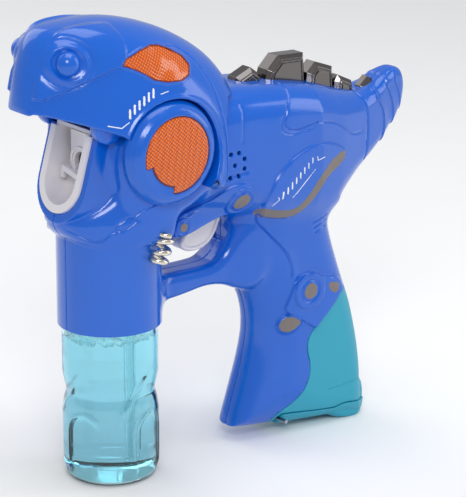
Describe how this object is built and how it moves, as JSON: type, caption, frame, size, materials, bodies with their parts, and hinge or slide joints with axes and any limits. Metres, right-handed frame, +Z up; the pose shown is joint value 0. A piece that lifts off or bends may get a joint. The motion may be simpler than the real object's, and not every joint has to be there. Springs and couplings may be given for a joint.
{
  "type": "toy bubble blower",
  "caption": "Hand-held dinosaur-shaped bubble blower: grip with trigger, screwed-in solution bottle, mouth with film ring and wiper, round cheek lamps, back plates.",
  "frame": {"origin": "on the floor, under the middle of the whole object", "axes": "-X forwards (the nose), +X to the tail, +Z up, -Y the left side with the loudspeaker holes"},
  "size_m": [0.236, 0.08, 0.228],
  "materials": {
    "blue_shell": "gloss moulded",
    "teal_shell": "satin moulded",
    "orange_lens": "clear gloss",
    "blue_trim": "gloss moulded",
    "dark_chrome": "vacuum metallised dark chrome",
    "chrome_trim": "vacuum metallised chrome",
    "white_plastic": "gloss moulded",
    "bottle_plastic": "clear tinted",
    "solution": "clear liquid",
    "inner_plastic": "plain moulded",
    "gear_nylon": "plain moulded",
    "steel": "zinc plated",
    "motor_can": "plated can",
    "cell_wrap": "printed sleeve",
    "seal_rubber": "soft silicone",
    "clear_pipe": "clear",
    "board_green": "coated board",
    "speaker_black": "plain",
    "wire_jacket": "soft jacket"
  },
  "bodies": {
    "casing": {"housing_left": "blue_shell", "housing_right": "blue_shell", "head_cover": "blue_shell", "grip_cover": "teal_shell", "cheek_lens_left": "orange_lens", "cheek_lens_right": "orange_lens", "brow_lens_left": "orange_lens", "brow_lens_right": "orange_lens", "cheek_bezel_left": "blue_trim", "cheek_bezel_right": "blue_trim", "spine_plate_1": "dark_chrome", "spine_plate_2": "dark_chrome", "spine_plate_3": "dark_chrome", "spine_plate_4": "dark_chrome", "spine_plate_5": "dark_chrome", "shock_spring_left": "chrome_trim", "shock_spring_right": "chrome_trim", "mouth_tray": "white_plastic", "bubble_ring": "white_plastic", "bottle_socket": "inner_plastic", "air_duct": "inner_plastic", "fan_shroud": "inner_plastic", "gear_frame": "inner_plastic", "battery_box": "inner_plastic", "trigger_switch": "inner_plastic", "door_hinge_pin": "steel", "trigger_pin": "steel", "trigger_spring": "steel", "idler_axle": "steel", "housing_screws": "steel", "battery_contacts": "steel", "motor": "motor_can", "battery_cells": "cell_wrap", "socket_gasket": "seal_rubber", "pump_hose": "seal_rubber", "suction_tube": "seal_rubber", "feed_tube": "seal_rubber", "pickup_pipe": "clear_pipe", "circuit_board": "board_green", "lamp_board_left": "board_green", "lamp_board_right": "board_green", "speaker": "speaker_black", "battery_wires": "wire_jacket", "motor_wires": "wire_jacket", "speaker_wires": "wire_jacket"},
    "trigger_body": {"trigger": "white_plastic"},
    "rod_body": {"push_rod": "inner_plastic"},
    "wiper_body": {"wiper_arm": "white_plastic"},
    "fan_body": {"fan_wheel": "gear_nylon", "motor_shaft": "steel", "drive_pinion": "gear_nylon"},
    "idler_body": {"idler_gear": "gear_nylon"},
    "pump_body": {"pump_gear": "gear_nylon", "pump_rotor": "gear_nylon", "pump_rollers": "gear_nylon"},
    "bottle_body": {"bottle": "bottle_plastic", "bubble_solution": "solution"},
    "door_body": {"battery_door": "teal_shell", "door_screw": "steel"}
  },
  "joints": [
    {"name": "trigger_pull", "type": "hinge", "parent": "casing", "child": "trigger_body", "pos_m": [-0.005, 0, 0.129], "axis": [0, -1, 0], "range_deg": [0, 15], "stiffness_Nm_per_rad": 0.4, "springref_deg": -5.73, "deforming": ["trigger_spring"]},
    {"name": "rod_slide", "type": "slide", "parent": "casing", "child": "rod_body", "axis": [-1, 0, 0], "range_m": [0, 0.0042]},
    {"name": "wiper_swing", "type": "hinge", "parent": "casing", "child": "wiper_body", "pos_m": [-0.0846, -0.0104, 0.1524], "axis": [1, 0, 0], "range_deg": [0, 50]},
    {"name": "fan_spin", "type": "hinge", "parent": "casing", "child": "fan_body", "pos_m": [-0.052, 0, 0.164], "axis": [1, 0, 0], "continuous": true},
    {"name": "idler_spin", "type": "hinge", "parent": "casing", "child": "idler_body", "pos_m": [-0.0426, 0, 0.1496], "axis": [1, 0, 0], "continuous": true},
    {"name": "pump_spin", "type": "hinge", "parent": "casing", "child": "pump_body", "pos_m": [-0.0381, 0, 0.1352], "axis": [1, 0, 0], "continuous": true},
    {"name": "bottle_slide", "type": "slide", "parent": "casing", "child": "bottle_body", "axis": [0, 0, -1], "range_m": [0, 0.105]},
    {"name": "door_swing", "type": "hinge", "parent": "casing", "child": "door_body", "pos_m": [0.0336, 0, 0.00713], "axis": [0, 1, 0], "range_deg": [0, 80]}
  ],
  "couplings": [
    {"joint": "rod_slide", "follows": "trigger_pull", "m_per_rad": 0.015954},
    {"joint": "wiper_swing", "follows": "trigger_pull", "ratio": 3.3333},
    {"joint": "idler_spin", "follows": "fan_spin", "ratio": -0.33333},
    {"joint": "pump_spin", "follows": "fan_spin", "ratio": 0.11111}
  ]
}
